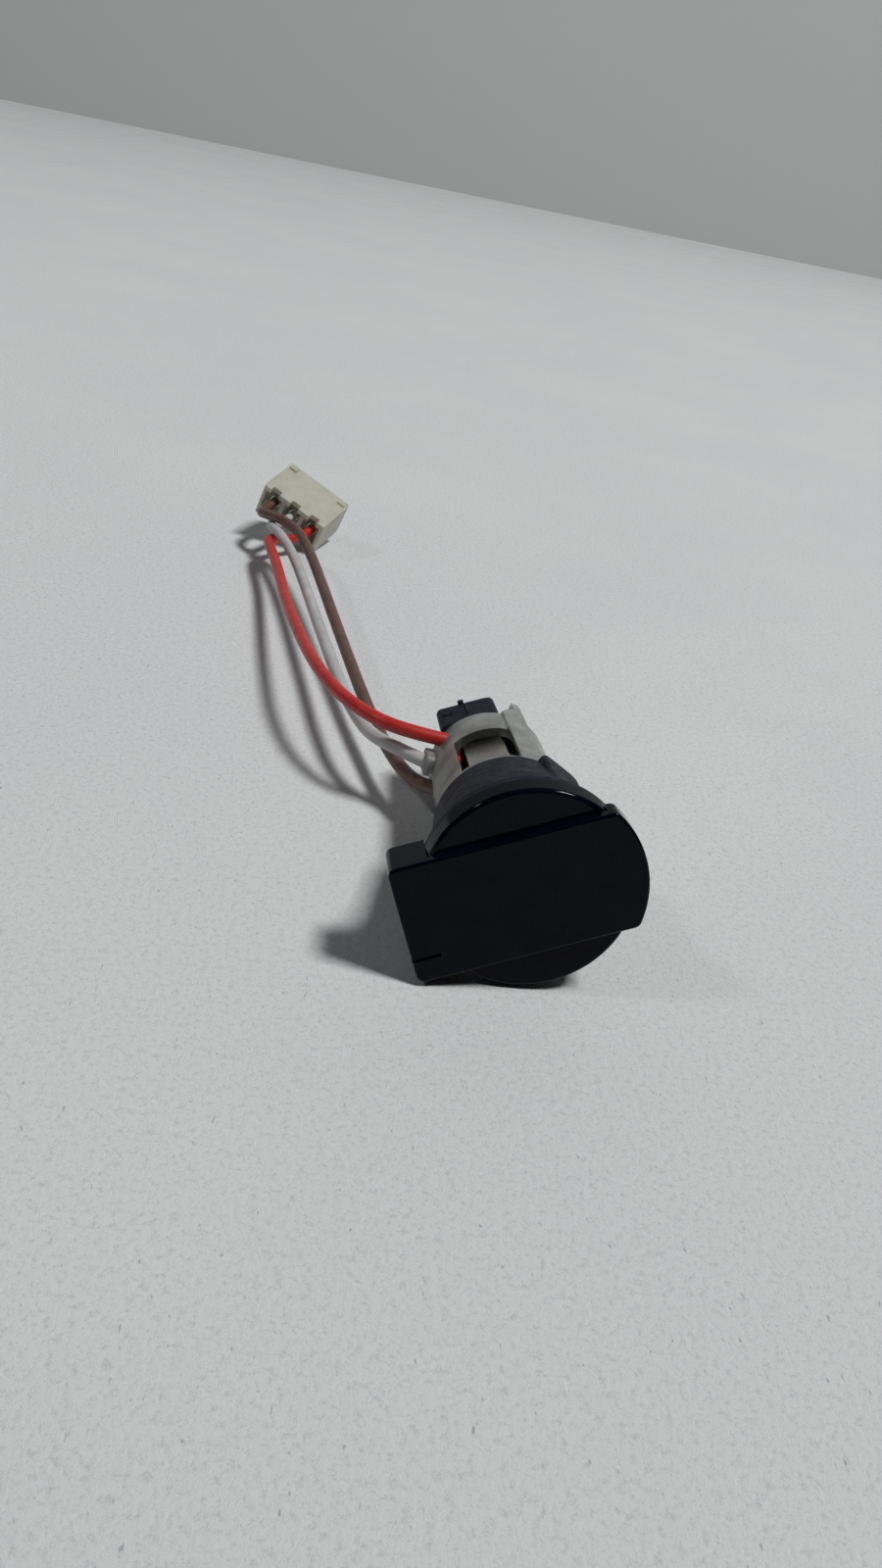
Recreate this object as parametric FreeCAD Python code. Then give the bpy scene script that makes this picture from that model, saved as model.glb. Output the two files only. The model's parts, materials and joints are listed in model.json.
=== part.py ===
"""Small rotary selector switch with a barred knob, lying on a table with its three leads.

The switch is drawn in its own frame: the knob turns about Z, the knob's face looks along +Z, the
disc's front face is the plane z = 0, the grip bar's tab points along -X and the window faces +Y.
It is then laid down so that it rests on its tab, its knob rim and the rear rim of its body.
"""
import FreeCAD, Part
import math
import os
from FreeCAD import Placement, Rotation, Vector

os.makedirs("parts", exist_ok=True)

# ---- driving dimensions, millimetres and degrees -------------------------------------------------
# knob disc and the grip bar that caps it
DISC_R = 10.0
DISC_REAR_R = 10.2
DISC_T = 1.9
DISC_ROUND = 0.45
BAR_W = 12.0
BAR_RISE = 1.0
BAR_END_R = 10.8
BAR_END_DEPTH = 1.3
BAR_CORNER = 0.8
BAR_ROUND = 0.3
TAB_REACH = 12.0
TAB_DEPTH = 3.5
PEG_R = 0.8
PEG_LENGTH = 1.2
PEG_X = 5.0
INDEX_LENGTH = 2.7
INDEX_W = 0.36
INDEX_DEPTH = 0.25
INDEX_Y = -3.5
# knob hub, its stop lug and its metal bush
HUB_R = 3.4
HUB_END = 5.5
STOP_R = 4.5
STOP_HALF_ANGLE = 15.0
STOP_TOP = 3.0
TURN_EACH_WAY = 45.0
STOP_SLACK = 0.5
INSERT_R = 2.75
INSERT_TOP = 1.3
INSERT_END = 5.2
# spindle
SPINDLE_R = 2.0
SPINDLE_TOP = 1.1
SPINDLE_FLAT = 1.5
SPINDLE_FLAT_END = 5.4
DRIVE_R = 1.5
DRIVE_FLAT = 1.1
DRIVE_TOP = 11.1
DRIVE_END = 22.0
TAIL_PIN_R = 1.0
CLIP_GROOVE_R = 1.5
# knob screw
SCREW_R = 0.8
SCREW_HEAD_R = 1.75
SCREW_HEAD_T = 0.65
SCREW_LENGTH = 5.0
SCREW_SLOT_W = 0.4
SCREW_SLOT_DEPTH = 0.3
# washers, clip and seal
WAVE_WASHER_R = 3.2
WAVE_WASHER_T = 0.35
THRUST_WASHER_R = 3.2
THRUST_WASHER_T = 0.4
CLIP_R = 3.0
CLIP_T = 0.45
CLIP_MOUTH = 1.9
SEAL_SECTION_R = 0.46
SEAL_Z = 7.2
# collar with its bezel flange and its key
COLLAR_GAP = 0.3
BEZEL_R = 10.0
BEZEL_T = 1.0
BEZEL_CHAMFER = 0.25
COLLAR_FRONT_R = 9.1
COLLAR_REAR_R = 7.6
COLLAR_LENGTH = 11.8
COLLAR_SEAT = 5.4
KEY_ANGLE = 36.0
KEY_R = 8.1
KEY_HALF_W = 2.4
KEY_FRONT = 5.0
KEY_OVERHANG = 1.0
KEY_ROUND = 1.2
KEY_TOP_ROUND = 0.4
# switch body
BODY_R = 6.67
BODY_WALL = 0.9
BODY_REAR = 29.6
BODY_FRONT_WALL = 1.0
WINDOW_W = 6.1
WINDOW_FRONT = 16.7
WINDOW_REAR = 24.6
WINDOW_CORNER = 1.2
FIN_ANGLE = 52.0
FIN_HALF_W = 1.4
FIN_T = 1.25
FIN_RISE = 0.25
FIN_FRONT = 15.6
FIN_SLOPE = 2.7
NIB_LENGTH = 2.0
NIB_W = 0.9
OUTLET_ANGLE = 152.0
OUTLET_HALF_W = 1.2
OUTLET_RISE = 0.95
OUTLET_ROUND = 0.5
OUTLET_TOP_ROUND = 0.2
OUTLET_FRONT = 25.95
OUTLET_REAR = 29.2
RIB_W = 1.6
RIB_FRONT = 16.2
RIB_REAR = 19.0
RIB_ANGLES = (45.0, 135.0, 270.0)
# contact frame, the bent plate behind the window
PLATE_W = 4.3
PLATE_T = 0.35
PLATE_Y = 5.0
PLATE_FOOT_Y = 4.15
PLATE_NOSE_Y = 4.2
PLATE_NOSE_Z = 16.3
PLATE_FOLD_Z = 18.1
PLATE_STEP_Z = 23.6
PLATE_STEP_RUN = 0.5
PLATE_END_Z = 28.9
# terminal block
PLUG_T = 1.4
BLOCK_W = 6.8
BLOCK_X = -0.64
BLOCK_TOP = 6.25
BLOCK_BOTTOM = 4.2
BLOCK_REAR = 35.5
BLOCK_ROUND = 0.7
BLOCK_REAR_ROUND = 0.45
BLOCK_GAP = 0.1
STEP_RISE = 0.15
STEP_INSET = 0.25
BUMP_R = 0.35
BUMP_RISE = 0.35
BUMP_INSET = 0.2
BOSS_R = 0.6
BOSS_RISE = 0.12
BOSS_X = -2.9
BOSS_Z = 33.1
# detent
CAM_R = 3.9
CAM_FRONT = 11.3
CAM_T = 1.6
CAM_NOTCHES = 8
CAM_NOTCH_R = 0.9
CAM_NOTCH_AT = 4.15
SPRING_T = 0.25
SPRING_W = 1.3
SPRING_NOSE_Y = 3.5
SPRING_KNEE_X = 1.25
SPRING_KNEE_Y = 4.5
SPRING_END_X = 4.5
SPRING_END_Y = 3.25
# rotor, wiper and fixed contacts
ROTOR_R = 3.0
ROTOR_FLANGE_R = 3.3
ROTOR_FLANGE_T = 0.8
ROTOR_FRONT = 14.0
ROTOR_REAR = 21.4
WIPER_T = 0.2
WIPER_FRONT = 16.2
WIPER_REAR = 19.0
WIPER_PAD_HALF_ANGLE = 7.0
WIPER_PAD_INSET = 0.4
CONTACT_R = 3.46
CONTACT_T = 0.34
CONTACT_FRONT = 15.8
CONTACT_REAR = 19.5
PAD_HALF_ANGLE = 12.0
RED_PAD_ANGLE = 135.0
WHITE_PAD_ANGLE = 45.0
BROWN_PAD_START = 225.0
BROWN_PAD_END = 315.0
BROWN_STRIP_START = 228.0
BROWN_STRIP_END = 240.0
STRIP_HALF_ANGLE = 6.0
STRIP_LAP = 0.1
# leads
LEAD_R = 0.8
LEAD_ANGLE = {"red": 128.0, "white": 152.0, "brown": 169.0}
LEAD_TURN = {"red": 25.0, "white": 0.0, "brown": 0.0}
LEAD_Z = {"red": 28.3, "white": 27.1, "brown": 25.2}
LEAD_SLANT = {"red": 8.0, "white": 35.0, "brown": 50.0}
LEAD_START_R = 7.2
LEAD_STRAIGHT = {"red": 4.5, "white": 4.5, "brown": 2.8}
RED_BEND_R = 5.5
RED_TAIL_R = 4.9
RED_TAIL_ANGLE = 137.0
RED_TAIL_REAR = 24.6
RED_TAIL_END = 21.4
TAIL_END_R = 4.15
TAG_HALF = 0.7
TAG_HALF_ANGLE = 9.0
SOLDER_HALF_W = 0.6
SOLDER_LENGTH = 1.1
# connector
PITCH = 3.96
CONN_W = 12.5
CONN_H = 6.2
CONN_D = 9.0
CONN_CENTRE = (-23.3, 117.4)
CONN_STRAIGHT = 2.4
CONN_YAW = -28.6
CONN_PITCH = 14.7
CONN_ROLL = 21.8
CONN_ROUND = 0.4
CAVITY_W = 3.2
CAVITY_H = 4.3
CAVITY_DEPTH = 8.0
NOTCH_W = 1.7
NOTCH_DEPTH = 1.0
PIN_SLOT = 1.5
LATCH_RISE = 0.35
LATCH_W = 1.4
LATCH_D = 1.2
CRIMP_R = 1.0
CRIMP_BARREL = 2.0
CRIMP_BOX = 2.3
CRIMP_BOX_LENGTH = 3.4
CRIMP_BOX_WALL = 0.3
LEAD_IN_CAVITY = 1.6
# clearances
FIT = 0.02
RUN = 0.05
MOVE_GAP = 0.15
WIPE_GAP = 0.05

# ---- levels and radii that follow from them ------------------------------------------------------
COLLAR_FRONT = DISC_T + COLLAR_GAP
COLLAR_REAR = COLLAR_FRONT + COLLAR_LENGTH
BEZEL_REAR = COLLAR_FRONT + BEZEL_T
BODY_FRONT = COLLAR_REAR - COLLAR_SEAT
BODY_INNER_R = BODY_R - BODY_WALL
WALL_REAR = BODY_FRONT + BODY_FRONT_WALL
COUNTERBORE_FLOOR = HUB_END + WAVE_WASHER_T + RUN
WASHER_FRONT = WALL_REAR + RUN
CLIP_FRONT = WASHER_FRONT + THRUST_WASHER_T
CONTACT_OUT_R = CONTACT_R + CONTACT_T
PLUG_FRONT = BODY_REAR - PLUG_T
BLOCK_LEFT = BLOCK_X - BLOCK_W / 2
BLOCK_RIGHT = BLOCK_X + BLOCK_W / 2
STOP_SWEEP = STOP_HALF_ANGLE + TURN_EACH_WAY
BAR_EDGE = BAR_W / 2
X_AXIS = Vector(1, 0, 0)
Y_AXIS = Vector(0, 1, 0)
Z_AXIS = Vector(0, 0, 1)


# ---- solids ----------------------------------------------------------------------------------------
def cylinder(radius, front, rear):
    """Solid cylinder on the switch axis between two depths behind the disc's face."""
    return Part.makeCylinder(radius, rear - front, Vector(0, 0, -rear))


def ring(outer, inner, front, rear):
    return cylinder(outer, front, rear).cut(cylinder(inner, front - 1, rear + 1))


def sector(outer, inner, start, end, front, rear):
    """Part of a ring between two angles, counted from +X."""
    wedge = Part.makeCylinder(outer, rear - front, Vector(0, 0, -rear), Z_AXIS, end - start)
    wedge.rotate(Vector(), Z_AXIS, start)
    return wedge.cut(cylinder(inner, front - 1, rear + 1))


def block(x_low, x_high, y_low, y_high, front, rear):
    return Part.makeBox(x_high - x_low, y_high - y_low, rear - front, Vector(x_low, y_low, -rear))


def revolved(profile):
    """Solid of revolution from (radius, depth) corners."""
    corners = [Vector(radius, 0, -depth) for radius, depth in profile]
    face = Part.Face(Part.makePolygon(corners + corners[:1]))
    return face.revolve(Vector(), Z_AXIS, 360)


def radial(angle, radius, depth):
    """Point at a polar place behind the disc's face."""
    turn = math.radians(angle)
    return Vector(radius * math.cos(turn), radius * math.sin(turn), -depth)


def outlet_point(colour, reach):
    """Point on the slanted line that a lead follows through the body's wall.

    The line meets the wall's outside where the reach is the body's radius.
    """
    beyond = reach - BODY_R
    slope = math.tan(math.radians(LEAD_SLANT[colour]))
    onward = radial(LEAD_ANGLE[colour] + LEAD_TURN[colour], beyond, beyond * slope)
    return radial(LEAD_ANGLE[colour], BODY_R, LEAD_Z[colour]) + onward


def outlet_rod(colour, rod_r, near, far):
    start = outlet_point(colour, near)
    way = outlet_point(colour, far) - start
    return Part.makeCylinder(rod_r, way.Length, start, way)


def radial_box(angle, near, far, half_width, front, rear):
    """Box whose length points away from the axis at an angle."""
    box = block(near, far, -half_width, half_width, front, rear)
    box.rotate(Vector(), Z_AXIS, angle)
    return box


def joined(pieces):
    whole = pieces[0]
    for piece in pieces[1:]:
        whole = whole.fuse(piece)
    return whole.removeSplitter()


def edges_where(shape, test):
    return [edge for edge in shape.Edges if test(edge)]


def flat_at(level):
    """Test for an edge that lies wholly in one depth plane."""
    return lambda edge: all(abs(vertex.Z - level) < 1e-4 for vertex in edge.Vertexes)


def along_axis(edge):
    """Test for a straight edge that runs along the switch axis."""
    ends = edge.Vertexes
    return len(ends) == 2 and abs(ends[0].X - ends[1].X) + abs(ends[0].Y - ends[1].Y) < 1e-4


def from_axis(face):
    centre = face.CenterOfMass
    return math.hypot(centre.x, centre.y)


def facing_out(edge):
    """Test for a straight edge that points away from the switch axis, at one depth."""
    ends = edge.Vertexes
    reach = [math.hypot(end.X, end.Y) for end in ends]
    return abs(ends[0].Z - ends[1].Z) < 1e-4 and abs(reach[0] - reach[1]) > OUTLET_RISE / 2


def ribbon(points, thickness):
    """Face of a bent strip in the XY plane, mitred at its bends."""
    def side(sign):
        line = []
        for index, point in enumerate(points):
            before = (points[index] - points[index - 1]).normalize() if index else None
            after = (points[index + 1] - points[index]).normalize() if index < len(points) - 1 else None
            along = (before or after) if not (before and after) else (before + after).normalize()
            normal = Vector(-along.y, along.x, 0)
            stretch = 1.0 if not (before and after) else 1.0 / before.dot(along)
            line.append(point + normal * (sign * stretch * thickness / 2))
        return line
    outline = side(1) + side(-1)[::-1]
    return Part.Face(Part.makePolygon(outline + outline[:1]))


def spindle_profile(radius, flat, front, rear, room=0.0):
    """D-shaped length of shaft, or with some room the hole for it."""
    return cylinder(radius + room, front, rear).common(
        block(-2 * radius, 2 * radius, -2 * radius, flat + room, front, rear))


# ---- knob ------------------------------------------------------------------------------------------
def make_knob_disc():
    disc = Part.makeCone(DISC_REAR_R, DISC_R, DISC_T, Vector(0, 0, -DISC_T))
    disc = disc.makeFillet(DISC_ROUND, edges_where(disc, flat_at(0.0)))
    hub = cylinder(HUB_R, DISC_T, HUB_END)
    lug = sector(STOP_R, HUB_R - 0.5, -90 - STOP_HALF_ANGLE, -90 + STOP_HALF_ANGLE, STOP_TOP, HUB_END)
    knob = joined([disc, hub, lug])
    knob = knob.cut(cylinder(INSERT_R, INSERT_TOP, INSERT_END))
    knob = knob.cut(cylinder(SPINDLE_R + FIT, SPINDLE_TOP - FIT, HUB_END + 1))
    knob = knob.cut(cylinder(SCREW_HEAD_R + RUN, -1, SCREW_HEAD_T + RUN))
    knob = knob.cut(cylinder(SCREW_R + RUN, -1, SPINDLE_TOP))
    for x in (-PEG_X, PEG_X):
        knob = knob.cut(Part.makeCylinder(PEG_R + FIT, PEG_LENGTH + FIT, Vector(x, 0, -PEG_LENGTH - FIT)))
    return knob


def bar_outline(front, rear):
    """Bar seen from the front: square at the tab, an arc about the axis at its other end."""
    bar = block(-TAB_REACH, BAR_END_R, -BAR_EDGE, BAR_EDGE, front, rear)
    tab_side = block(-TAB_REACH, 0, -BAR_EDGE, BAR_EDGE, front, rear)
    bar = joined([bar.common(cylinder(BAR_END_R, front, rear)), tab_side])
    return bar.makeFillet(BAR_CORNER, edges_where(bar, along_axis))


def make_grip_bar():
    whole = bar_outline(-BAR_RISE, TAB_DEPTH)
    whole = whole.makeFillet(BAR_ROUND, edges_where(whole, flat_at(BAR_RISE)))
    far = 2 * TAB_REACH
    bar = whole.cut(cylinder(DISC_REAR_R, 0, TAB_DEPTH + 1))
    bar = bar.cut(block(0, far, -far, far, BAR_END_DEPTH, TAB_DEPTH + 1))
    bar = bar.cut(block(-TAB_REACH - 1, -TAB_REACH + INDEX_LENGTH, INDEX_Y - INDEX_W / 2,
                        INDEX_Y + INDEX_W / 2, -BAR_RISE - 1, INDEX_DEPTH - BAR_RISE))
    pegs = [Part.makeCylinder(PEG_R, PEG_LENGTH, Vector(x, 0, -PEG_LENGTH)) for x in (-PEG_X, PEG_X)]
    return joined([bar] + pegs)


def make_knob_insert():
    bush = cylinder(INSERT_R, INSERT_TOP, INSERT_END)
    return bush.cut(spindle_profile(SPINDLE_R, SPINDLE_FLAT, INSERT_TOP - 1, INSERT_END + 1, FIT))


def make_knob_screw():
    head = cylinder(SCREW_HEAD_R, RUN, SCREW_HEAD_T)
    shank = cylinder(SCREW_R - FIT, SCREW_HEAD_T, SCREW_LENGTH)
    slot = block(-SCREW_HEAD_R, SCREW_HEAD_R, -SCREW_SLOT_W / 2, SCREW_SLOT_W / 2, 0, SCREW_SLOT_DEPTH)
    return joined([head, shank]).cut(slot)


def make_spindle():
    top = spindle_profile(SPINDLE_R, SPINDLE_FLAT, SPINDLE_TOP, SPINDLE_FLAT_END)
    journal = cylinder(SPINDLE_R, SPINDLE_FLAT_END, DRIVE_TOP)
    drive = spindle_profile(DRIVE_R, DRIVE_FLAT, DRIVE_TOP, DRIVE_END)
    tail = cylinder(TAIL_PIN_R, DRIVE_END, BODY_REAR - RUN)
    shaft = joined([top, journal, drive, tail])
    shaft = shaft.cut(cylinder(SCREW_R, SPINDLE_TOP - 1, SCREW_LENGTH + RUN))
    return shaft.cut(ring(SPINDLE_R + 1, CLIP_GROOVE_R, CLIP_FRONT, CLIP_FRONT + CLIP_T))


def make_wave_washer():
    return ring(WAVE_WASHER_R, SPINDLE_R + RUN, HUB_END, HUB_END + WAVE_WASHER_T)


def make_thrust_washer():
    return ring(THRUST_WASHER_R, SPINDLE_R + RUN, WASHER_FRONT, CLIP_FRONT)


def make_retaining_clip():
    clip = ring(CLIP_R, CLIP_GROOVE_R + FIT, CLIP_FRONT, CLIP_FRONT + CLIP_T)
    return clip.cut(block(0, CLIP_R + 1, -CLIP_MOUTH / 2, CLIP_MOUTH / 2, CLIP_FRONT - 1, CLIP_FRONT + 1))


def make_detent_cam():
    cam = cylinder(CAM_R, CAM_FRONT, CAM_FRONT + CAM_T)
    for index in range(CAM_NOTCHES):
        place = radial(-90 + index * 360.0 / CAM_NOTCHES, CAM_NOTCH_AT, CAM_FRONT + CAM_T + 1)
        cam = cam.cut(Part.makeCylinder(CAM_NOTCH_R, CAM_T + 2, place))
    return cam.cut(spindle_profile(DRIVE_R, DRIVE_FLAT, CAM_FRONT - 1, CAM_FRONT + CAM_T + 1, FIT))


def make_rotor():
    drum = cylinder(ROTOR_R, ROTOR_FRONT, ROTOR_REAR)
    front_flange = cylinder(ROTOR_FLANGE_R, ROTOR_FRONT, ROTOR_FRONT + ROTOR_FLANGE_T)
    rear_flange = cylinder(ROTOR_FLANGE_R, ROTOR_REAR - ROTOR_FLANGE_T, ROTOR_REAR)
    drum = joined([drum, front_flange, rear_flange])
    return drum.cut(spindle_profile(DRIVE_R, DRIVE_FLAT, ROTOR_FRONT - 1, ROTOR_REAR + 1, FIT))


def make_wiper():
    inner = ROTOR_R + FIT
    band = ring(inner + WIPER_T, inner, WIPER_FRONT, WIPER_REAR)
    reach = CONTACT_R - WIPE_GAP
    pads = [sector(reach, inner, angle - WIPER_PAD_HALF_ANGLE, angle + WIPER_PAD_HALF_ANGLE,
                   WIPER_FRONT + WIPER_PAD_INSET, WIPER_REAR - WIPER_PAD_INSET) for angle in (90, 270)]
    return joined([band] + pads)


# ---- fixed side --------------------------------------------------------------------------------------
def make_collar():
    bore = SPINDLE_R + RUN
    counterbore = HUB_R + MOVE_GAP
    seat_r = BODY_R + FIT
    collar = revolved([
        (counterbore, COLLAR_FRONT),
        (BEZEL_R - BEZEL_CHAMFER, COLLAR_FRONT),
        (BEZEL_R, COLLAR_FRONT + BEZEL_CHAMFER),
        (BEZEL_R, BEZEL_REAR),
        (COLLAR_FRONT_R, BEZEL_REAR),
        (COLLAR_REAR_R, COLLAR_REAR),
        (seat_r, COLLAR_REAR),
        (seat_r, BODY_FRONT - RUN),
        (bore, BODY_FRONT - RUN),
        (bore, COUNTERBORE_FLOOR),
        (counterbore, COUNTERBORE_FLOOR)])
    key_rear = COLLAR_REAR + KEY_OVERHANG
    key = radial_box(KEY_ANGLE, BODY_R - 1, KEY_R, KEY_HALF_W, KEY_FRONT, key_rear)
    key = key.makeFillet(KEY_ROUND, edges_where(
        key, lambda edge: facing_out(edge) and flat_at(-key_rear)(edge)))
    key = key.makeFillet(KEY_TOP_ROUND, max(key.Faces, key=from_axis).Edges)
    collar = joined([collar, key.cut(cylinder(seat_r, KEY_FRONT - 1, key_rear + 1))])
    stop_slot = sector(STOP_R + MOVE_GAP, HUB_R - 0.5, -90 - STOP_SWEEP - STOP_SLACK,
                       -90 + STOP_SWEEP + STOP_SLACK, COLLAR_FRONT - 1, COUNTERBORE_FLOOR)
    seal_r = SPINDLE_R + 2 * SEAL_SECTION_R + 2 * RUN + FIT
    seal_groove = cylinder(seal_r, SEAL_Z - SEAL_SECTION_R - FIT, SEAL_Z + SEAL_SECTION_R + FIT)
    return collar.cut(stop_slot).cut(seal_groove)


def make_seal_ring():
    middle = SPINDLE_R + RUN + FIT + SEAL_SECTION_R
    return Part.makeTorus(middle, SEAL_SECTION_R, Vector(0, 0, -SEAL_Z))


def window_cutter():
    opening = block(-WINDOW_W / 2, WINDOW_W / 2, BODY_R / 2, BODY_R + 1, WINDOW_FRONT, WINDOW_REAR)
    rear = edges_where(opening, lambda edge: flat_at(-WINDOW_REAR)(edge)
                       and abs(edge.Vertexes[0].X - edge.Vertexes[-1].X) < 1e-4)
    return opening.makeFillet(WINDOW_CORNER, rear)


def make_fin():
    """Flat fin along the body, its rear edge sloping up to a nib at one side."""
    slope_top = BODY_REAR + FIN_SLOPE
    outline = [(-FIN_HALF_W, FIN_FRONT), (-FIN_HALF_W, slope_top + NIB_LENGTH),
               (NIB_W - FIN_HALF_W, slope_top + NIB_LENGTH), (NIB_W - FIN_HALF_W, slope_top),
               (FIN_HALF_W, BODY_REAR), (FIN_HALF_W, FIN_FRONT)]
    inner = BODY_R + FIN_RISE - FIN_T
    corners = [Vector(inner, across, -depth) for across, depth in outline]
    fin = Part.Face(Part.makePolygon(corners + corners[:1])).extrude(X_AXIS * FIN_T)
    fin.rotate(Vector(), Z_AXIS, FIN_ANGLE)
    return fin


def make_switch_body():
    shell = cylinder(BODY_R, BODY_FRONT, BODY_REAR)
    outlet = radial_box(OUTLET_ANGLE, BODY_INNER_R, BODY_R + OUTLET_RISE, OUTLET_HALF_W,
                        OUTLET_FRONT, OUTLET_REAR)
    outlet = outlet.makeFillet(OUTLET_ROUND, edges_where(outlet, facing_out))
    outlet = outlet.makeFillet(OUTLET_TOP_ROUND, max(outlet.Faces, key=from_axis).Edges)
    body = joined([shell, make_fin(), outlet])
    body = body.cut(cylinder(BODY_INNER_R, WALL_REAR, BLOCK_REAR))
    ribs = [radial_box(angle, CONTACT_OUT_R, BODY_R - BODY_WALL / 2, RIB_W / 2, RIB_FRONT, RIB_REAR)
            .cut(cylinder(CONTACT_OUT_R, RIB_FRONT - 1, RIB_REAR + 1)) for angle in RIB_ANGLES]
    body = joined([body] + ribs)
    body = body.cut(block(BLOCK_LEFT - BLOCK_GAP, BLOCK_RIGHT + BLOCK_GAP, -BLOCK_BOTTOM - BLOCK_GAP,
                          BLOCK_TOP + BLOCK_GAP, BODY_REAR, BLOCK_REAR + 1))
    body = body.cut(cylinder(SPINDLE_R + RUN, BODY_FRONT - 1, WALL_REAR + 1))
    body = body.cut(window_cutter())
    for colour in LEAD_ANGLE:
        body = body.cut(outlet_rod(colour, LEAD_R + FIT, BODY_INNER_R - LEAD_R, BODY_R + 2 * OUTLET_RISE))
    body = body.cut(make_inner_lead_red(LEAD_R + FIT))
    return body


def make_contact_frame():
    """Bent plate: a nose that dips at the front, a flat under the window and a stepped-down foot."""
    line = [Vector(PLATE_NOSE_Z, PLATE_NOSE_Y, 0), Vector(PLATE_FOLD_Z, PLATE_Y, 0),
            Vector(PLATE_STEP_Z, PLATE_Y, 0), Vector(PLATE_STEP_Z + PLATE_STEP_RUN, PLATE_FOOT_Y, 0),
            Vector(PLATE_END_Z, PLATE_FOOT_Y, 0)]
    plate = ribbon(line, PLATE_T).extrude(Vector(0, 0, PLATE_W))
    plate.translate(Vector(0, 0, -PLATE_W / 2))
    plate.rotate(Vector(), Y_AXIS, 90)
    return plate


def make_terminal_block():
    plug = cylinder(BODY_INNER_R - RUN, PLUG_FRONT, BODY_REAR)
    outer = block(BLOCK_LEFT, BLOCK_RIGHT, -BLOCK_BOTTOM, BLOCK_TOP, BODY_REAR, BLOCK_REAR)
    outer = outer.makeFillet(BLOCK_ROUND, edges_where(outer, along_axis))
    outer = outer.makeFillet(BLOCK_REAR_ROUND, edges_where(outer, flat_at(-BLOCK_REAR)))
    step = block(BLOCK_X, BLOCK_RIGHT - BLOCK_ROUND - STEP_INSET, 0, BLOCK_TOP + STEP_RISE,
                 BODY_REAR + STEP_INSET, BLOCK_REAR - BLOCK_REAR_ROUND - STEP_INSET)
    bump = Part.makeCylinder(BUMP_R, BLOCK_TOP + BUMP_RISE,
                             Vector(BLOCK_X - BUMP_R, 0, BUMP_INSET - BLOCK_REAR), Y_AXIS)
    boss = Part.makeCylinder(BOSS_R, BLOCK_TOP + BOSS_RISE, Vector(BOSS_X, 0, -BOSS_Z), Y_AXIS)
    whole = joined([plug, outer, step, bump, boss])
    whole = whole.cut(cylinder(TAIL_PIN_R + RUN, PLUG_FRONT - 1, BODY_REAR))
    whole = whole.cut(make_inner_lead_red(LEAD_R + FIT))
    return whole.cut(block(-PLATE_W / 2 - FIT, PLATE_W / 2 + FIT, PLATE_FOOT_Y - PLATE_T / 2 - FIT,
                           PLATE_FOOT_Y + PLATE_T / 2 + FIT, PLUG_FRONT - 1, PLATE_END_Z + FIT))


def make_detent_spring():
    """Leaf with a nose that drops into the cam's notches."""
    line = [Vector(-SPRING_END_X, -SPRING_END_Y, 0), Vector(-SPRING_KNEE_X, -SPRING_KNEE_Y, 0),
            Vector(0, -SPRING_NOSE_Y, 0), Vector(SPRING_KNEE_X, -SPRING_KNEE_Y, 0),
            Vector(SPRING_END_X, -SPRING_END_Y, 0)]
    leaf = ribbon(line, SPRING_T).extrude(Vector(0, 0, SPRING_W))
    leaf.translate(Vector(0, 0, -CAM_FRONT - CAM_T / 2 - SPRING_W / 2))
    return leaf


def contact_strip(start, end, front, rear):
    """Part of a terminal that lies along the ring of contacts."""
    return sector(CONTACT_OUT_R, CONTACT_R, start, end, front, rear)


def contact_pad(angle):
    return contact_strip(angle - PAD_HALF_ANGLE, angle + PAD_HALF_ANGLE, CONTACT_FRONT, CONTACT_REAR)


def make_terminal_red():
    tail = contact_strip(RED_PAD_ANGLE - PAD_HALF_ANGLE, RED_TAIL_ANGLE + STRIP_HALF_ANGLE,
                         CONTACT_REAR - STRIP_LAP, RED_TAIL_END)
    return joined([contact_pad(RED_PAD_ANGLE), tail])


def make_terminal_white():
    tag = -outlet_point("white", CONTACT_OUT_R).z
    start = WHITE_PAD_ANGLE - STRIP_HALF_ANGLE
    strip = contact_strip(start, WHITE_PAD_ANGLE + STRIP_HALF_ANGLE, CONTACT_REAR - STRIP_LAP, tag + TAG_HALF)
    across = contact_strip(start, LEAD_ANGLE["white"] + TAG_HALF_ANGLE, tag - TAG_HALF, tag + TAG_HALF)
    return joined([contact_pad(WHITE_PAD_ANGLE), strip, across])


def make_terminal_brown():
    tag = -outlet_point("brown", CONTACT_OUT_R).z
    pad = contact_strip(BROWN_PAD_START, BROWN_PAD_END, CONTACT_FRONT, CONTACT_REAR)
    strip = contact_strip(BROWN_STRIP_START, BROWN_STRIP_END, CONTACT_REAR - STRIP_LAP, tag + TAG_HALF)
    across = contact_strip(LEAD_ANGLE["brown"] - TAG_HALF_ANGLE, BROWN_STRIP_END,
                           tag - TAG_HALF, tag + TAG_HALF)
    return joined([pad, strip, across])


def make_solder_joints():
    """Three separate joints, one where each lead's inner end meets its terminal."""
    core = cylinder(CONTACT_OUT_R, 0, BODY_REAR)
    white = outlet_rod("white", TAG_HALF, CONTACT_R, TAIL_END_R).cut(core)
    brown = outlet_rod("brown", TAG_HALF, CONTACT_R, TAIL_END_R).cut(core)
    red = radial_box(RED_TAIL_ANGLE, CONTACT_R, RED_TAIL_R + LEAD_R / 2, SOLDER_HALF_W,
                     RED_TAIL_END - SOLDER_LENGTH, RED_TAIL_END).cut(core)
    return Part.makeCompound([red, white, brown])


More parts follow.
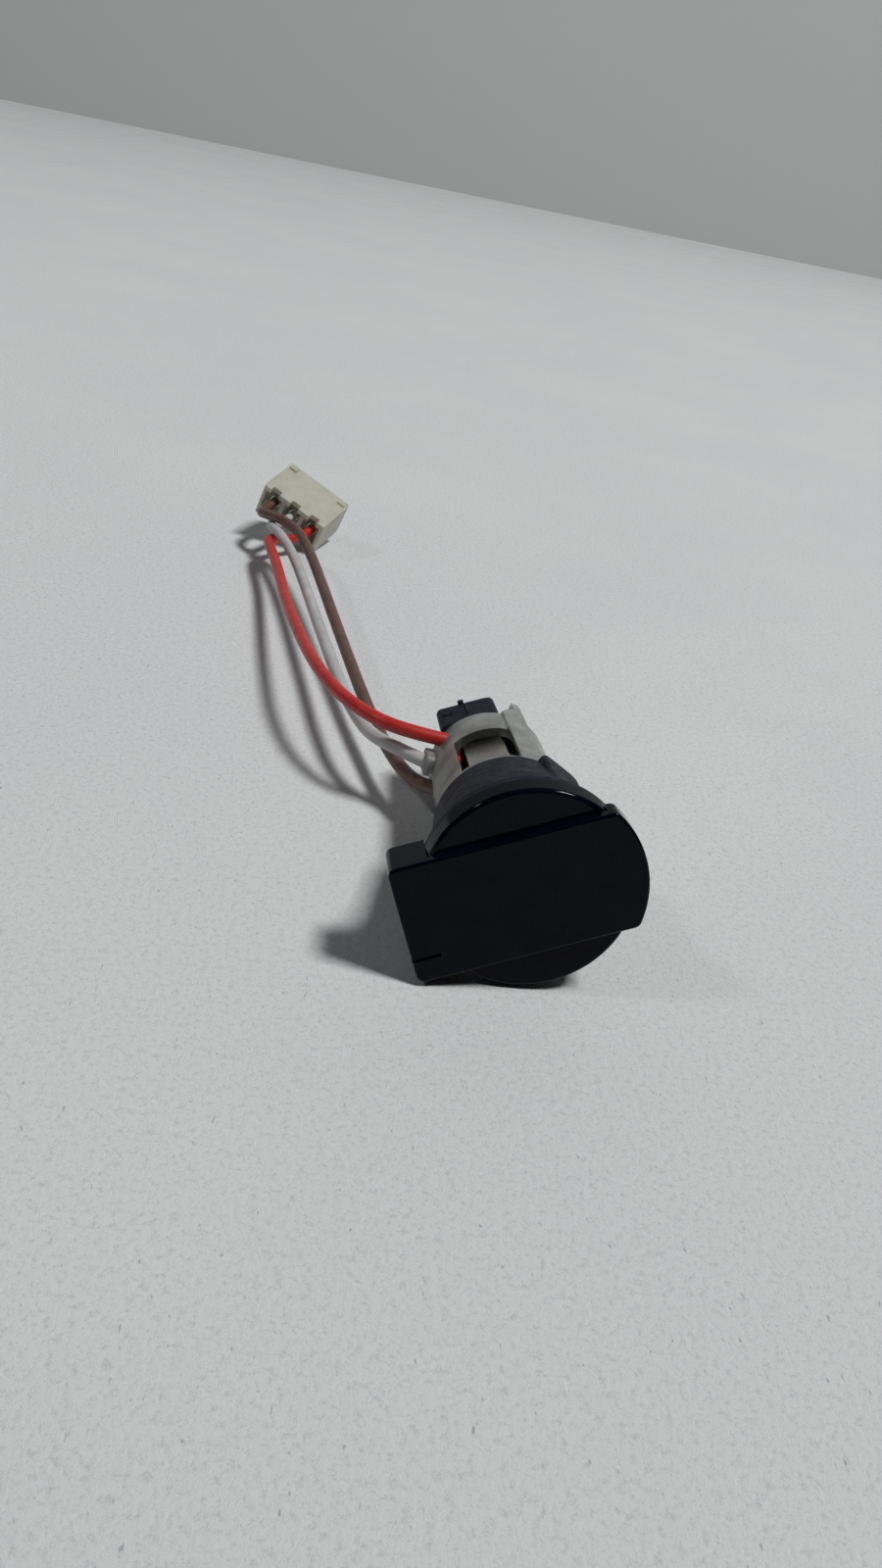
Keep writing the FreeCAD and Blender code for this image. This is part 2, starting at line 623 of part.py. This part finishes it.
# ---- leads -------------------------------------------------------------------------------------------
def rounded_path(points, share=0.45):
    """Straight runs joined by the largest tangent arcs that their corners allow."""
    edges = []
    radii = []
    start = points[0]
    for before, corner, after in zip(points, points[1:], points[2:]):
        inward = (before - corner).normalize()
        outward = (after - corner).normalize()
        half_turn = (math.pi - inward.getAngle(outward)) / 2
        reach = share * min((before - corner).Length, (after - corner).Length)
        radius = reach / math.tan(half_turn)
        radii.append(radius)
        arc_start = corner + inward * reach
        arc_end = corner + outward * reach
        bisector = (inward + outward).normalize()
        middle = corner + bisector * (radius / math.cos(half_turn) - radius)
        edges.append(Part.LineSegment(start, arc_start).toShape())
        edges.append(Part.Arc(arc_start, middle, arc_end).toShape())
        start = arc_end
    edges.append(Part.LineSegment(start, points[-1]).toShape())
    return Part.Wire(edges), radii


def tube_along(points, radius, label):
    """Round tube on a rounded path, with its bends printed and its volume checked."""
    path, radii = rounded_path(points)
    section = Part.Wire(Part.Circle(points[0], points[1] - points[0], radius).toShape())
    tube = path.makePipeShell([section], True, False)
    expected = math.pi * radius ** 2 * path.Length
    print(label, "length %.2f" % path.Length, "radii", ["%.1f" % bend for bend in radii],
          "volume ratio %.4f" % (tube.Volume / expected))
    return tube


def make_inner_lead(colour):
    """Inner end of a lead, straight in through the wall to its terminal."""
    return outlet_rod(colour, LEAD_R, TAIL_END_R, LEAD_START_R)


def make_inner_lead_red(lead_r):
    """Inner end of the red lead: in through the wall, then forward beside the rotor."""
    start = outlet_point("red", LEAD_START_R)
    corners = [outlet_point("red", RED_BEND_R), radial(RED_TAIL_ANGLE, RED_TAIL_R, RED_TAIL_REAR)]
    end = radial(RED_TAIL_ANGLE, RED_TAIL_R, RED_TAIL_END)
    path, _ = rounded_path([start] + corners + [end])
    section = Part.Wire(Part.Circle(start, start - corners[0], lead_r).toShape())
    return path.makePipeShell([section], True, False)


# ---- laying the switch on the table -------------------------------------------------------------------
def lying_placement():
    """Rest on the knob's rim, the body's rear rim and the tab's lower corner."""
    pitch = math.atan((DISC_REAR_R - BODY_R) / (BODY_REAR - DISC_T))
    drop = DISC_REAR_R - (TAB_DEPTH - DISC_T) * math.tan(pitch) - BAR_CORNER
    corner_x = TAB_REACH - BAR_CORNER
    corner_y = BAR_EDGE - BAR_CORNER
    roll = math.asin(drop / math.hypot(corner_x, corner_y)) - math.atan2(corner_y, corner_x)
    height = DISC_REAR_R * math.cos(pitch) + DISC_T * math.sin(pitch)
    turn = Rotation(X_AXIS, 90 - math.degrees(pitch)).multiply(Rotation(Z_AXIS, math.degrees(roll)))
    print("roll %.4f pitch %.4f height %.4f" % (math.degrees(roll), math.degrees(pitch), height))
    return Placement(Vector(0, 0, height), turn)


LYING = lying_placement()


def laid(shape):
    """The shape, drawn in the switch frame, where it lies on the table."""
    copy = shape.copy()
    copy.Placement = LYING.multiply(shape.Placement)
    return copy


# ---- connector, drawn with its mouths towards -Y and its pins' side towards +Y -------------------------
def conn_placement():
    turn = Rotation(Z_AXIS, CONN_YAW).multiply(Rotation(X_AXIS, CONN_PITCH)).multiply(
        Rotation(Y_AXIS, CONN_ROLL))
    corners = [turn.multVec(Vector(x * CONN_W / 2, y * CONN_D / 2, -CONN_H / 2))
               for x in (-1, 1) for y in (-1, 1)]
    lowest = min(corner.z for corner in corners)
    return Placement(Vector(CONN_CENTRE[0], CONN_CENTRE[1], -lowest), turn)


CONN = conn_placement()
CAVITY_X = {"brown": -PITCH, "white": 0.0, "red": PITCH}


def in_connector(shape):
    copy = shape.copy()
    copy.Placement = CONN.multiply(shape.Placement)
    return copy


def make_connector_housing():
    shell = Part.makeBox(CONN_W, CONN_D, CONN_H, Vector(-CONN_W / 2, -CONN_D / 2, -CONN_H / 2))
    shell = shell.makeFillet(CONN_ROUND, edges_where(
        shell, lambda edge: abs(edge.Vertexes[0].Z - edge.Vertexes[1].Z) > 1e-4))
    latch = Part.makeBox(LATCH_W, LATCH_D, LATCH_RISE + 0.5, Vector(0, 0, 0))
    for x in (-CONN_W / 2 + CONN_ROUND, CONN_W / 2 - CONN_ROUND - LATCH_W):
        rail = latch.copy()
        rail.translate(Vector(x, CONN_D / 2 - LATCH_D - CONN_ROUND, CONN_H / 2 - 0.5))
        shell = shell.fuse(rail)
    for x in CAVITY_X.values():
        cavity = Part.makeBox(CAVITY_W, CAVITY_DEPTH + 1, CAVITY_H,
                              Vector(x - CAVITY_W / 2, -CONN_D / 2 - 1, -CAVITY_H / 2))
        notch = Part.makeBox(NOTCH_W, NOTCH_DEPTH + 1, CONN_H, Vector(x - NOTCH_W / 2, -CONN_D / 2 - 1, 0))
        pin_slot = Part.makeBox(PIN_SLOT, CONN_D, PIN_SLOT, Vector(x - PIN_SLOT / 2, 0, -PIN_SLOT / 2))
        shell = shell.cut(cavity).cut(notch).cut(pin_slot)
    return shell.removeSplitter()


def make_crimp(x):
    """Crimp barrel on the lead's end and the spring box that takes the header's pin."""
    start = -CONN_D / 2 + LEAD_IN_CAVITY
    barrel = Part.makeCylinder(CRIMP_R, CRIMP_BARREL, Vector(x, start, 0), Y_AXIS)
    box_start = start + CRIMP_BARREL
    case = Part.makeBox(CRIMP_BOX, CRIMP_BOX_LENGTH, CRIMP_BOX,
                        Vector(x - CRIMP_BOX / 2, box_start, -CRIMP_BOX / 2))
    hole = CRIMP_BOX - 2 * CRIMP_BOX_WALL
    bore = Part.makeBox(hole, CRIMP_BOX_LENGTH, hole, Vector(x - hole / 2, box_start + 0.6, -hole / 2))
    return joined([barrel, case]).cut(bore)


def lead_end(colour):
    """Where a lead meets its crimp, and the point straight out of the cavity before it."""
    face = CONN.multVec(Vector(CAVITY_X[colour], -CONN_D / 2 + LEAD_IN_CAVITY, 0))
    outside = CONN.multVec(Vector(CAVITY_X[colour], -CONN_D / 2 - CONN_STRAIGHT, 0))
    return [outside, face]


def lead_start(colour):
    """Where a lead leaves its inner end inside the outlet, and the point straight out of it."""
    start = outlet_point(colour, LEAD_START_R)
    way = (start - outlet_point(colour, BODY_R)).normalize()
    return [LYING.multVec(start), LYING.multVec(start + way * LEAD_STRAIGHT[colour])]


# ---- everything in its place, and written out ----------------------------------------------------------
ROUTES = {
    "red": [(-14.6, 32.2, 10.2), (-18.1, 38.4, 9.8), (-20.7, 47.6, 9.1), (-22.4, 57.7, 8.0),
            (-24.0, 68.7, 6.8), (-25.2, 79.0, 5.9), (-26.3, 89.0, 5.3), (-27.7, 97.0, 5.1),
            (-28.4, 102.4, 4.8), (-26.6, 107.0, 3.4)],
    "white": [(-13.9, 34.4, 6.8), (-16.2, 44.0, 6.4), (-18.0, 55.5, 6.1), (-20.0, 68.0, 6.0),
              (-21.9, 80.5, 6.0), (-23.9, 92.0, 6.1), (-26.3, 101.0, 6.3), (-28.6, 106.6, 5.8)],
    "brown": [(-11.2, 36.6, 4.3), (-13.3, 46.4, 4.6), (-15.4, 58.2, 5.1), (-17.6, 71.0, 5.6),
              (-19.7, 83.6, 6.2), (-21.9, 94.8, 6.9), (-23.9, 101.0, 7.6), (-27.2, 105.6, 7.6),
              (-30.1, 109.4, 6.7)],
}

SWITCH_NODES = {
    "knob_disc": make_knob_disc(),
    "grip_bar": make_grip_bar(),
    "knob_insert": make_knob_insert(),
    "knob_screw": make_knob_screw(),
    "spindle": make_spindle(),
    "wave_washer": make_wave_washer(),
    "thrust_washer": make_thrust_washer(),
    "retaining_clip": make_retaining_clip(),
    "detent_cam": make_detent_cam(),
    "rotor": make_rotor(),
    "wiper": make_wiper(),
    "collar": make_collar(),
    "seal_ring": make_seal_ring(),
    "switch_body": make_switch_body(),
    "contact_frame": make_contact_frame(),
    "terminal_block": make_terminal_block(),
    "detent_spring": make_detent_spring(),
    "terminal_red": make_terminal_red(),
    "terminal_white": make_terminal_white(),
    "terminal_brown": make_terminal_brown(),
    "solder_joints": make_solder_joints(),
    "inner_lead_red": make_inner_lead_red(LEAD_R),
    "inner_lead_white": make_inner_lead("white"),
    "inner_lead_brown": make_inner_lead("brown"),
}

nodes = {name: laid(shape) for name, shape in SWITCH_NODES.items()}
switch_box = Part.makeCompound(list(nodes.values())).optimalBoundingBox(False, False)
ORIGIN = Vector(switch_box.Center.x, switch_box.Center.y, 0)
print("switch box", switch_box, "origin", ORIGIN)

nodes["connector_housing"] = in_connector(make_connector_housing())
for colour in ROUTES:
    nodes["crimp_" + colour] = in_connector(make_crimp(CAVITY_X[colour]))
    route = lead_start(colour) + [Vector(*point) for point in ROUTES[colour]] + lead_end(colour)
    nodes["lead_" + colour] = tube_along(route, LEAD_R, colour)
    print([tuple(round(value, 2) for value in point - ORIGIN) for point in route])

for name, shape in nodes.items():
    shape.translate(-ORIGIN)
    print("%-18s solids %d volume %9.3f valid %s" % (name, len(shape.Solids), shape.Volume, shape.isValid()))
    shape.exportStep("parts/%s.step" % name)
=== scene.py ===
"""Looks of the small rotary selector switch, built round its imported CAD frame."""
import json
import math

import bpy
from mathutils import Matrix, Vector


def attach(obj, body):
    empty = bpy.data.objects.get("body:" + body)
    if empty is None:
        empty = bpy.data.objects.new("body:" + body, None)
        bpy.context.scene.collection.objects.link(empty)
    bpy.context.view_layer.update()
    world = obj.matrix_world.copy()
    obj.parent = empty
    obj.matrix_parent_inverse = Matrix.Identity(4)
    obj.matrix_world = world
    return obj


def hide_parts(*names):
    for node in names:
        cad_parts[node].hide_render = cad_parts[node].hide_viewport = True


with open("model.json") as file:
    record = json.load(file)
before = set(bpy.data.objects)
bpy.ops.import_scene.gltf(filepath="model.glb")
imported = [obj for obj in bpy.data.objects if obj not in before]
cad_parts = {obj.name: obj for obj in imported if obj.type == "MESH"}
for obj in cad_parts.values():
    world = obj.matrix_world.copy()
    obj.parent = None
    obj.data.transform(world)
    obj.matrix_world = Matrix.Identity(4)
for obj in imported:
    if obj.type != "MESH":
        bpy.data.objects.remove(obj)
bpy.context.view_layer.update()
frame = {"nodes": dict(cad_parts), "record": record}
MM = 0.001

# ---- the switch's own frame: knob axis along Z, tab along -X, window along Y ---------------------
TURN_JOINT = next(j for j in frame["record"]["behaviour"]["joints"] if j["name"] == "knob_turn")
FACE = Vector(TURN_JOINT["pos_m"])
AXIS = Vector(TURN_JOINT["axis"]).normalized()
ROLL = math.radians(23.2309)
SWITCH_X = Matrix.Rotation(ROLL, 3, AXIS) @ Vector((1, 0, 0))
SWITCH_Y = AXIS.cross(SWITCH_X)
SWITCH = Matrix.Translation(FACE) @ Matrix((SWITCH_X, SWITCH_Y, AXIS)).transposed().to_4x4()


def at_switch(x, y, z):
    """Point of the switch's frame, in millimetres, in the row frame."""
    return SWITCH @ Vector((x * MM, y * MM, z * MM))


# ---- camera ----------------------------------------------------------------------------------------
CAMERA_HEADING = math.radians(10.24)
CAMERA_TILT = math.radians(28.81)
CAMERA_ROLL = math.radians(12.05)
FACE_DISTANCE = 0.1063
FACE_RIGHT = 0.0081
FACE_BELOW = 0.0097
LENS_MM = 27.0


def make_camera():
    forward = Vector((math.sin(CAMERA_HEADING) * math.cos(CAMERA_TILT),
                      math.cos(CAMERA_HEADING) * math.cos(CAMERA_TILT), -math.sin(CAMERA_TILT)))
    level = Vector((math.cos(CAMERA_HEADING), -math.sin(CAMERA_HEADING), 0))
    right = Matrix.Rotation(-CAMERA_ROLL, 3, forward) @ level
    up = right.cross(forward)
    eye = FACE - right * FACE_RIGHT + up * FACE_BELOW - forward * FACE_DISTANCE
    camera = bpy.data.objects.new("camera", bpy.data.cameras.new("camera"))
    camera.data.lens = LENS_MM
    camera.data.clip_start = 0.005
    camera.data.clip_end = 20
    camera.matrix_world = Matrix.Translation(eye) @ Matrix((right, up, -forward)).transposed().to_4x4()
    bpy.context.collection.objects.link(camera)
    bpy.context.scene.camera = camera


make_camera()

# ---- leads -----------------------------------------------------------------------------------------
LEAD_DIAMETER = 0.0016
LEAD_POINT_RADIUS = 0.001  # scales the bevel, and is added to the curve's bounds, so it is kept small
ROUTES = {
    "red": [
        (-5.20, 11.63, 9.99), (-9.65, 12.28, 10.20), (-13.43, 15.27, 10.20), (-16.93, 21.47, 9.80),
        (-19.53, 30.67, 9.10), (-21.23, 40.77, 8.00), (-22.83, 51.77, 6.80), (-24.03, 62.07, 5.90),
        (-25.13, 72.07, 5.30), (-26.53, 80.07, 5.10), (-27.23, 85.47, 4.80), (-25.43, 90.07, 3.40),
        (-21.92, 93.18, 3.00), (-20.06, 96.57, 4.01),
    ],
    "white": [
        (-6.00, 10.40, 7.48), (-9.68, 12.99, 7.46), (-12.73, 17.47, 6.80), (-15.03, 27.07, 6.40),
        (-16.83, 38.57, 6.10), (-18.83, 51.07, 6.00), (-20.73, 63.57, 6.00), (-22.73, 75.07, 6.10),
        (-25.13, 84.07, 6.30), (-27.43, 89.67, 5.80), (-25.32, 94.61, 4.42), (-23.47, 98.01, 5.44),
    ],
    "brown": [
        (-5.87, 8.50, 5.58), (-7.62, 10.58, 4.93), (-10.03, 19.67, 4.30), (-12.13, 29.47, 4.60),
        (-14.23, 41.27, 5.10), (-16.43, 54.07, 5.60), (-18.53, 66.67, 6.20), (-20.73, 77.87, 6.90),
        (-22.73, 84.07, 7.60), (-26.03, 88.67, 7.60), (-28.93, 92.47, 6.70), (-28.73, 96.04, 5.84),
        (-26.88, 99.44, 6.86),
    ],
}


def make_lead(colour):
    """Free lead: one smooth spline through the listed route."""
    curve = bpy.data.curves.new("wire_" + colour, "CURVE")
    curve.dimensions = "3D"
    curve.bevel_depth = LEAD_DIAMETER / 2 / LEAD_POINT_RADIUS
    curve.bevel_resolution = 6
    curve.resolution_u = 12
    curve.use_fill_caps = True
    spline = curve.splines.new("NURBS")
    spline.points.add(len(ROUTES[colour]) - 1)
    for point, (x, y, z) in zip(spline.points, ROUTES[colour]):
        point.co = (x * MM, y * MM, z * MM, 1)
        point.radius = LEAD_POINT_RADIUS
    spline.order_u = 3
    spline.use_endpoint_u = True
    wire = bpy.data.objects.new("wire_" + colour, curve)
    bpy.context.collection.objects.link(wire)
    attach(wire, "switch_base")
    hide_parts("lead_" + colour)
    return wire


wires = {
    "red": make_lead("red"),
    "white": make_lead("white"),
    "brown": make_lead("brown"),
}


# ---- materials -------------------------------------------------------------------------------------
def new_material(name, colour, roughness, metallic=0.0):
    """Plain Principled material, given back with its shader node."""
    made = bpy.data.materials.new(name)
    made.use_nodes = True
    shader = made.node_tree.nodes["Principled BSDF"]
    shader.inputs["Base Color"].default_value = (*colour, 1)
    shader.inputs["Roughness"].default_value = roughness
    shader.inputs["Metallic"].default_value = metallic
    return made, shader


def add(made, kind, **settings):
    node = made.node_tree.nodes.new(kind)
    for key, value in settings.items():
        if key in node.inputs:
            node.inputs[key].default_value = value
        else:
            setattr(node, key, value)
    return node


def link(made, output, target):
    made.node_tree.links.new(output, target)


def noise(made, scale, detail=4.0, roughness=0.55, stretch=(1, 1, 1)):
    """Noise in object space, with a scale in features per metre."""
    place = add(made, "ShaderNodeTexCoord")
    spread = add(made, "ShaderNodeMapping")
    spread.inputs["Scale"].default_value = stretch
    cloud = add(made, "ShaderNodeTexNoise", Scale=scale, Detail=detail, Roughness=roughness)
    link(made, place.outputs["Object"], spread.inputs["Vector"])
    link(made, spread.outputs["Vector"], cloud.inputs["Vector"])
    return cloud.outputs["Fac"]


def ramp(made, source, stops):
    """Colour ramp of (position, colour) stops."""
    node = add(made, "ShaderNodeValToRGB")
    elements = node.color_ramp.elements
    while len(elements) < len(stops):
        elements.new(0.5)
    for element, (position, colour) in zip(elements, stops):
        element.position = position
        element.color = (*colour, 1)
    link(made, source, node.inputs["Fac"])
    return node.outputs["Color"]


def between(made, source, low, high, start=0.3, end=0.7):
    node = add(made, "ShaderNodeMapRange")
    node.inputs["From Min"].default_value = start
    node.inputs["From Max"].default_value = end
    node.inputs["To Min"].default_value = low
    node.inputs["To Max"].default_value = high
    link(made, source, node.inputs["Value"])
    return node.outputs["Result"]


def bump(made, shader, source, distance, strength=1.0):
    node = add(made, "ShaderNodeBump", Distance=distance, Strength=strength)
    link(made, source, node.inputs["Height"])
    link(made, node.outputs["Normal"], shader.inputs["Normal"])


MIX_COLOUR_A, MIX_COLOUR_B, MIX_COLOUR_RESULT = 6, 7, 2  # colour sockets of the mix node


def mixed(made, base, over, share):
    """Base colour multiplied by another one, by some share."""
    node = add(made, "ShaderNodeMix", data_type="RGBA", blend_type="MULTIPLY")
    node.inputs["Factor"].default_value = share
    link(made, base, node.inputs[MIX_COLOUR_A])
    link(made, over, node.inputs[MIX_COLOUR_B])
    return node.outputs[MIX_COLOUR_RESULT]


def plastic(name, dark, light, rough, grain, depth, shine=0.5):
    """Moulded plastic: slight colour mottle, uneven gloss and a fine surface texture."""
    made, shader = new_material(name, light, rough[0])
    mottle = noise(made, 350.0)
    link(made, ramp(made, mottle, [(0.3, dark), (0.7, light)]), shader.inputs["Base Color"])
    link(made, between(made, noise(made, 900.0), *rough), shader.inputs["Roughness"])
    bump(made, shader, noise(made, grain, 6.0), depth)
    shader.inputs["Specular IOR Level"].default_value = shine
    return made, shader


def metal(name, dark, light, rough, stretch, scratch=9000.0):
    """Bare or plated metal with brushed streaks along one direction."""
    made, shader = new_material(name, light, rough[0], 1.0)
    streaks = noise(made, scratch, 3.0, 0.6, stretch)
    link(made, ramp(made, streaks, [(0.3, dark), (0.7, light)]), shader.inputs["Base Color"])
    link(made, between(made, streaks, *rough), shader.inputs["Roughness"])
    bump(made, shader, streaks, 0.00001, 0.5)
    return made, shader


def milky(name, dark, light, transmission, scatter):
    """Unfilled nylon: light soaks into it, and what is inside shows through as a blur."""
    made, shader = plastic(name, dark, light, (0.32, 0.5), 5000.0, 0.00002)
    shader.inputs["Transmission Weight"].default_value = transmission
    shader.inputs["Subsurface Weight"].default_value = scatter
    shader.inputs["Subsurface Radius"].default_value = (1.0, 0.95, 0.85)
    shader.inputs["Subsurface Scale"].default_value = 0.002
    shader.inputs["IOR"].default_value = 1.45
    return made


# The body's window in the switch's frame, in millimetres: half its width, its two ends as depths
# behind the knob's face, how far its faces may be off these, and the level its wall lies above.
WINDOW_HALF_W = 3.05
WINDOW_FRONT = 16.7
WINDOW_REAR = 24.6
WINDOW_MARGIN = 0.04
WINDOW_LEVEL = 4.0
# Painted shade: base colour tone for the window's cut faces, where the nylon looks dark seen edge-on.
EDGE_PAINTED_SHADE = (0.06, 0.06, 0.055)


def with_painted_edge_shade(made):
    """Darkens the base colour of the cut faces all round the body's window: painted shade, standing in for
    how the nylon looks dark seen edge-on.
    """
    shader = made.node_tree.nodes["Principled BSDF"]
    place = add(made, "ShaderNodeTexCoord")

    def along(direction, offset):
        """Distance in millimetres along one of the switch's axes, off a middle."""
        node = add(made, "ShaderNodeVectorMath", operation="DOT_PRODUCT")
        node.inputs[1].default_value = direction / MM
        link(made, place.outputs["Object"], node.inputs[0])
        return calculate("SUBTRACT", node.outputs["Value"], direction.dot(FACE) / MM + offset)

    def calculate(operation, first, second):
        node = add(made, "ShaderNodeMath", operation=operation)
        for value, target in zip((first, second), node.inputs):
            if isinstance(value, (int, float)):
                target.default_value = value
            else:
                link(made, value, target)
        return node.outputs["Value"]

    def within(distance, half):
        return calculate("LESS_THAN", calculate("ABSOLUTE", distance, 0.0), half + WINDOW_MARGIN)

    across = within(along(SWITCH_X, 0.0), WINDOW_HALF_W)
    deep = within(along(AXIS, -(WINDOW_FRONT + WINDOW_REAR) / 2), (WINDOW_REAR - WINDOW_FRONT) / 2)
    upper = calculate("GREATER_THAN", along(SWITCH_Y, 0.0), WINDOW_LEVEL)
    edge = calculate("MULTIPLY", calculate("MULTIPLY", across, deep), upper)
    tone = shader.inputs["Base Color"].links[0].from_socket
    # Painted shade: the window's cut faces get this darker base colour multiplied in.
    shade = ramp(made, edge, [(0.0, (1, 1, 1)), (1.0, EDGE_PAINTED_SHADE)])
    link(made, mixed(made, tone, shade, 1.0), shader.inputs["Base Color"])
    return made


def build_materials():
    made = {
        "gloss_black": plastic("gloss_black", (0.0010, 0.0014, 0.0035), (0.0022, 0.0028, 0.0065),
                               (0.05, 0.11), 14000.0, 0.0000008, 0.1)[0],
        "satin_black": plastic("satin_black", (0.008, 0.010, 0.016), (0.018, 0.021, 0.030),
                               (0.42, 0.6), 9000.0, 0.00002, 0.07)[0],
        # The body's nylon carries painted shade on its window's cut faces.
        "milky_nylon": with_painted_edge_shade(milky("milky_nylon", (0.34, 0.345, 0.33), (0.84, 0.85, 0.82),
                                   0.72, 0.2)),
        "ivory_nylon": milky("ivory_nylon", (0.60, 0.585, 0.48), (0.74, 0.72, 0.62), 0.35, 0.4),
        "acetal": plastic("acetal", (0.62, 0.6, 0.55), (0.75, 0.74, 0.7),
                          (0.4, 0.55), 6000.0, 0.00002)[0],
        "seal_rubber": plastic("seal_rubber", (0.01, 0.01, 0.01), (0.025, 0.025, 0.025),
                               (0.6, 0.8), 9000.0, 0.00003)[0],
        "red_pvc": plastic("red_pvc", (0.40, 0.012, 0.010), (0.52, 0.022, 0.018),
                           (0.34, 0.5), 4000.0, 0.00002)[0],
        "white_pvc": plastic("white_pvc", (0.38, 0.375, 0.38), (0.50, 0.49, 0.49),
                             (0.36, 0.52), 4000.0, 0.00002)[0],
        "brown_pvc": plastic("brown_pvc", (0.09, 0.040, 0.030), (0.14, 0.068, 0.052),
                             (0.36, 0.52), 4000.0, 0.00002)[0],
        "nickel_plate": metal("nickel_plate", (0.5, 0.48, 0.43), (0.66, 0.64, 0.58),
                              (0.28, 0.45), (1, 0.06, 1))[0],
        "zinc_steel": metal("zinc_steel", (0.45, 0.46, 0.48), (0.6, 0.61, 0.63),
                            (0.25, 0.4), (1, 1, 1))[0],
        "brass": metal("brass", (0.55, 0.38, 0.16), (0.72, 0.54, 0.27),
                       (0.25, 0.4), (1, 0.2, 1))[0],
        "tin_plate": metal("tin_plate", (0.55, 0.54, 0.52), (0.7, 0.7, 0.69),
                           (0.25, 0.42), (1, 1, 1))[0],
        "solder": metal("solder", (0.5, 0.5, 0.5), (0.66, 0.66, 0.66),
                        (0.2, 0.35), (1, 1, 1), 3000.0)[0],
    }
    return made


MATERIALS = build_materials()


def dress(piece, slot):
    piece.data.materials.clear()
    piece.data.materials.append(MATERIALS[slot])


for part in frame["record"]["subparts"]:
    dress(frame["nodes"][part["node"]], part["material_slot"])
for colour, wire in wires.items():
    dress(wire, colour + "_pvc")


# ---- floor, backdrop and light ---------------------------------------------------------------------
WALL_Y = 1.474
FLOOR_SIZE = 4.0
FLOOR_DROP = 0.00002  # keeps the floor just off the faces that rest on it
LIGHT_DISTANCE = 3.0


def make_plane(name, centre, size, turn):
    mesh = bpy.data.meshes.new(name)
    half = size / 2
    mesh.from_pydata([(-half, -half, 0), (half, -half, 0), (half, half, 0), (-half, half, 0)], [],
                     [(0, 1, 2, 3)])
    plane = bpy.data.objects.new(name, mesh)
    plane.matrix_world = Matrix.Translation(centre) @ turn
    bpy.context.collection.objects.link(plane)
    return plane


def paper_material():
    """Pale paper with a fine raised grain whose dips carry painted shade, a cloudy tone and short dark
    fibres.
    """
    made, shader = new_material("paper", (0.66, 0.66, 0.66), 0.85)
    cloud = ramp(made, noise(made, 14.0, 3.0), [(0.2, (0.62, 0.625, 0.635)), (0.8, (0.68, 0.68, 0.68))])
    # Painted shade: this grain tone follows the same noise as the bump below, so the dips come out darker.
    grain_dip_shade = ramp(made, noise(made, 1500.0, 8.0, 0.85), [(0.36, (0.6, 0.6, 0.61)), (0.5, (1, 1, 1))])
    fibres = ramp(made, noise(made, 2400.0, 2.0, 0.5, (1, 0.35, 1)),
                  [(0.25, (0.45, 0.45, 0.47)), (0.30, (1, 1, 1))])
    # Cloudy tone with the painted shade of the grain's dips multiplied in.
    cloud_and_dip_shade = mixed(made, cloud, grain_dip_shade, 0.6)
    link(made, mixed(made, cloud_and_dip_shade, fibres, 0.7), shader.inputs["Base Color"])
    bump(made, shader, noise(made, 1500.0, 8.0, 0.7), 0.00018)
    return made


def make_stage():
    paper = paper_material()
    floor = make_plane("floor", Vector((0, WALL_Y - FLOOR_SIZE / 2, -FLOOR_DROP)), FLOOR_SIZE,
                       Matrix.Identity(4))
    floor.data.materials.append(paper)
    wall = make_plane("backdrop", Vector((0, WALL_Y, 0)), FLOOR_SIZE, Matrix.Rotation(math.pi / 2, 4, "X"))
    wall_paint, _ = new_material("wall_paint", (0.52, 0.52, 0.52), 0.9)
    wall.data.materials.append(wall_paint)


def make_light(name, towards, size, power, colour):
    """Square area light that shines at the switch from a direction."""
    data = bpy.data.lights.new(name, "AREA")
    data.size = size
    data.energy = power
    data.color = colour
    light = bpy.data.objects.new(name, data)
    way = Vector(towards).normalized()
    light.location = FACE + way * LIGHT_DISTANCE
    light.rotation_mode = "QUATERNION"
    light.rotation_quaternion = way.to_track_quat("Z", "Y")
    bpy.context.collection.objects.link(light)


def make_world():
    world = bpy.data.worlds.new("studio")
    world.use_nodes = True
    world.node_tree.nodes["Background"].inputs["Color"].default_value = (0.75, 0.8, 0.88, 1)
    world.node_tree.nodes["Background"].inputs["Strength"].default_value = 0.02
    bpy.context.scene.world = world
    bpy.context.scene.view_settings.view_transform = "Standard"


make_stage()
make_light("key", (0.45, -0.16, 1.0), 0.55, 74, (0.99, 1, 0.995))
make_light("fill", (-1.0, -0.1, 1.0), 0.26, 9, (0.95, 0.98, 1))
make_world()

# ---- finish ----------------------------------------------------------------------------------------
bpy.context.view_layer.update()
